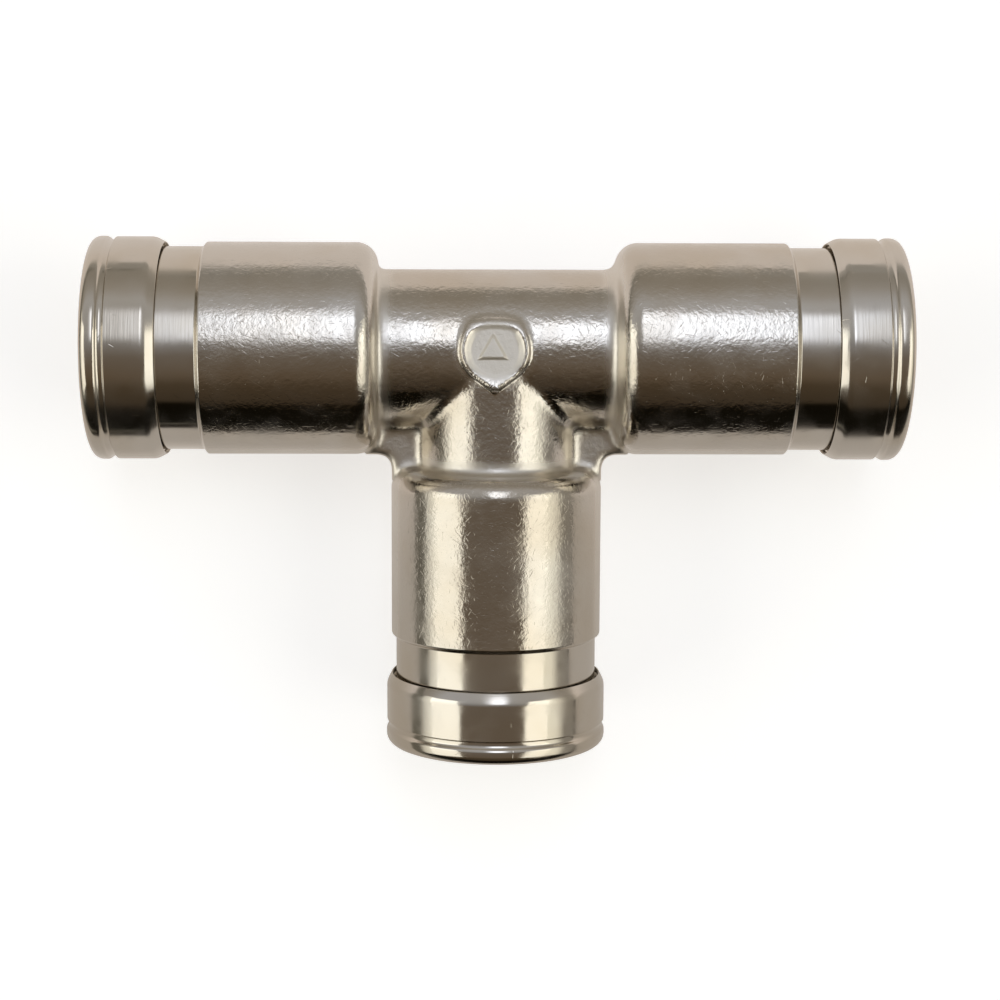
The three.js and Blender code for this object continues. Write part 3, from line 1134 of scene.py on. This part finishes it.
def addFloor():
    bm = bmesh.new()
    bmesh.ops.create_grid(bm, x_segments=1, y_segments=1, size=studio["floorSize"])
    floor = newObject(bm, "floor")
    floor.location.z = -studio["floorDrop"]
    material = bpy.data.materials.new("pale floor")
    material.use_nodes = True
    tree = material.node_tree
    tree.nodes.clear()
    output = tree.nodes.new("ShaderNodeOutputMaterial")
    seen = addNode(tree, "ShaderNodeEmission")
    seen.inputs["Color"].default_value = (1, 1, 1, 1)
    away = vectorMaths(tree, "LENGTH", inMillimetres(tree))
    glow = smoothRange(tree, away, *studio["glowRange"], *studio["glowStrength"])
    feed(tree, seen.inputs["Strength"], glow)
    lit = addNode(tree, "ShaderNodeBsdfDiffuse")
    lit.inputs["Color"].default_value = studio["floorColour"]
    both = addNode(tree, "ShaderNodeAddShader")
    feed(tree, both.inputs[0], seen.outputs[0])
    feed(tree, both.inputs[1], lit.outputs[0])
    # painted reflection, what the metal mirrors: for glossy rays only the floor glows as a pale sheet
    # whose front is darkened by painted shade, grey behind it, and darkness in front of it and on its
    # left
    place = addNode(tree, "ShaderNodeSeparateXYZ")
    feed(tree, place.inputs[0], inMillimetres(tree))
    back, front, left = studio["sheetBack"], studio["sheetFront"], studio["sheetLeft"]
    sharp, soft = studio["backBlur"], studio["frontBlur"]
    behind = smoothRange(tree, place.outputs["Y"], back - sharp, back + sharp)
    before = smoothRange(tree, place.outputs["Y"], front + soft, front - soft)
    aside = smoothRange(tree, place.outputs["X"], left + soft, left - soft)
    # painted shade: the sheet's tone darkens towards its front
    tone = smoothRange(tree, place.outputs["Y"], *studio["sheetShadeFade"])
    colour = mixColour(tree, tone, studio["shadedFrontTone"], studio["backTone"])
    colour = mixColour(tree, behind, colour, studio["beyondBack"])
    colour = mixColour(tree, before, colour, studio["beyondFront"])
    colour = mixColour(tree, aside, colour, studio["beyondLeft"])
    # painted reflection: the floor glows with these colours for glossy rays only, in place of being lit
    paintedReflection = addNode(tree, "ShaderNodeEmission")
    feed(tree, paintedReflection.inputs["Color"], colour)
    inMetal = addNode(tree, "ShaderNodeLightPath").outputs["Is Glossy Ray"]
    above = mixShader(tree, inMetal, both.outputs[0], paintedReflection.outputs[0])
    # from below it can't be seen
    clear = addNode(tree, "ShaderNodeBsdfTransparent").outputs[0]
    fromBelow = addNode(tree, "ShaderNodeNewGeometry").outputs["Backfacing"]
    feed(tree, output.inputs["Surface"], mixShader(tree, fromBelow, above, clear))
    floor.data.materials.append(material)


# The room as the metal sees it: a colour for each angle from straight above, from front to back.
roomColours = [
    (-90, (0.006, 0.005, 0.003)),
    (-61, (0.005, 0.004, 0.002)),
    (-57, (0.058, 0.043, 0.028)),
    (-37, (0.08, 0.058, 0.036)),
    (-26, (0.14, 0.106, 0.074)),
    (-5, (0.175, 0.148, 0.123)),
    (8, (0.27, 0.262, 0.262)),
    (20, (0.4, 0.4, 0.405)),
    (55, (0.48, 0.48, 0.49)),
    (68, (0.37, 0.345, 0.315)),
    (80, (0.315, 0.29, 0.255)),
    (90, (0.31, 0.285, 0.25)),
]

# The walls beside it, for each angle from straight above, from left to right. They fade out inwards.
wallColours = [
    (-90, (0.14, 0.13, 0.11, 1)),
    (-86, (0.16, 0.15, 0.13, 1)),
    (-82, (0.75, 0.73, 0.65, 1)),
    (-75, (1.0, 0.98, 0.88, 1)),
    (-72, (1.0, 0.98, 0.88, 1)),
    (-70, (1.0, 0.98, 0.88, 0)),
    (54, (1.0, 0.98, 0.87, 0)),
    (56, (1.15, 1.13, 1.0, 1)),
    (66, (1.1, 1.08, 0.96, 1)),
    (72, (0.7, 0.68, 0.6, 1)),
    (76, (0.3, 0.28, 0.25, 1)),
    (90, (0.3, 0.28, 0.25, 1)),
]
wallReach = (-0.5, 0.42)  # sines of the angles where they end, at the front and at the back
wallEdge = 0.08

# The long lamp high up towards the back, brightest in its middle.
backLamp = {
    "lowest": 13,  # degrees from straight above, towards the back
    "highest": 42.5,
    "edge": 10,
    "aside": 0.025,  # the next three are sines of angles sideways
    "core": 0.05,
    "reach": 0.23,
    "radiance": (1.9, 2.03, 2.32),
}


# A colour ramp over an angle from -90 to 90 degrees.
def angleRamp(tree, angle, colours):
    node = addNode(tree, "ShaderNodeValToRGB")
    elements = node.color_ramp.elements
    while len(elements) < len(colours):
        elements.new(0.5)
    for element, (degrees, colour) in zip(elements, colours):
        element.position = degrees / 180 + 0.5
        element.color = colour if len(colour) == 4 else (*colour, 1)
    feed(tree, node.inputs[0], maths(tree, "ADD", maths(tree, "DIVIDE", angle, math.pi), 0.5))
    return node.outputs


# One between two edges that are softened over a width, nought outside them.
def softWindow(tree, value, low, high, width):
    above = smoothRange(tree, value, low - width / 2, low + width / 2)
    below = smoothRange(tree, value, high + width / 2, high - width / 2)
    return maths(tree, "MULTIPLY", above, below)


def addRoom():
    world = bpy.data.worlds.new("room")
    bpy.context.scene.world = world
    world.use_nodes = True
    tree = world.node_tree
    tree.nodes.clear()
    output = tree.nodes.new("ShaderNodeOutputWorld")
    direction = addNode(tree, "ShaderNodeSeparateXYZ")
    feed(tree, direction.inputs[0], addNode(tree, "ShaderNodeTexCoord").outputs["Generated"])
    x, y, z = direction.outputs
    height = maths(tree, "ADD", maths(tree, "ABSOLUTE", z), 1e-4)
    angle = maths(tree, "ARCTAN2", y, height)
    colour = angleRamp(tree, angle, roomColours)["Color"]
    walls = angleRamp(tree, maths(tree, "ARCTAN2", x, height), wallColours)
    seen = maths(tree, "MULTIPLY", walls["Alpha"], softWindow(tree, y, *wallReach, wallEdge))
    colour = mixColour(tree, seen, colour, walls["Color"])
    lit = softWindow(
        tree, maths(tree, "DEGREES", angle), backLamp["lowest"], backLamp["highest"], backLamp["edge"],
    )
    offset = maths(tree, "ABSOLUTE", maths(tree, "SUBTRACT", x, backLamp["aside"]))
    lit = maths(tree, "MULTIPLY", lit, smoothRange(tree, offset, backLamp["reach"], backLamp["core"]))
    colour = mixColour(tree, lit, colour, (*backLamp["radiance"], 1))
    path = addNode(tree, "ShaderNodeLightPath")
    colour = mixColour(tree, path.outputs["Is Camera Ray"], colour, (1, 1, 1, 1))
    background = addNode(tree, "ShaderNodeBackground")
    feed(tree, background.inputs["Color"], colour)
    feed(tree, output.inputs["Surface"], background.outputs[0])


cameraView = {
    "lens": 80.81,
    "lookAt": (0.254, -10.0, 0.0),  # millimetres from the crossing
    "distance": 148.21,
    "turn": (-7.964, -1.123, 0.2215),
}


def addCamera():
    camera = bpy.data.objects.new("camera", bpy.data.cameras.new("camera"))
    bpy.context.collection.objects.link(camera)
    camera.data.lens = cameraView["lens"]
    camera.data.sensor_width = 36
    camera.data.clip_start = 0.01
    camera.data.clip_end = 10
    camera.rotation_euler = [math.radians(turn) for turn in cameraView["turn"]]
    back = camera.rotation_euler.to_matrix() @ Vector((0, 0, cameraView["distance"]))
    camera.location = (crossing + Vector(cameraView["lookAt"]) + back) * mm
    bpy.context.scene.camera = camera


addFloor()
for name, values in lamps.items():
    addLamp(name, values)
addRoom()
addCamera()
bpy.context.scene.view_settings.view_transform = "Standard"
print("studio made")
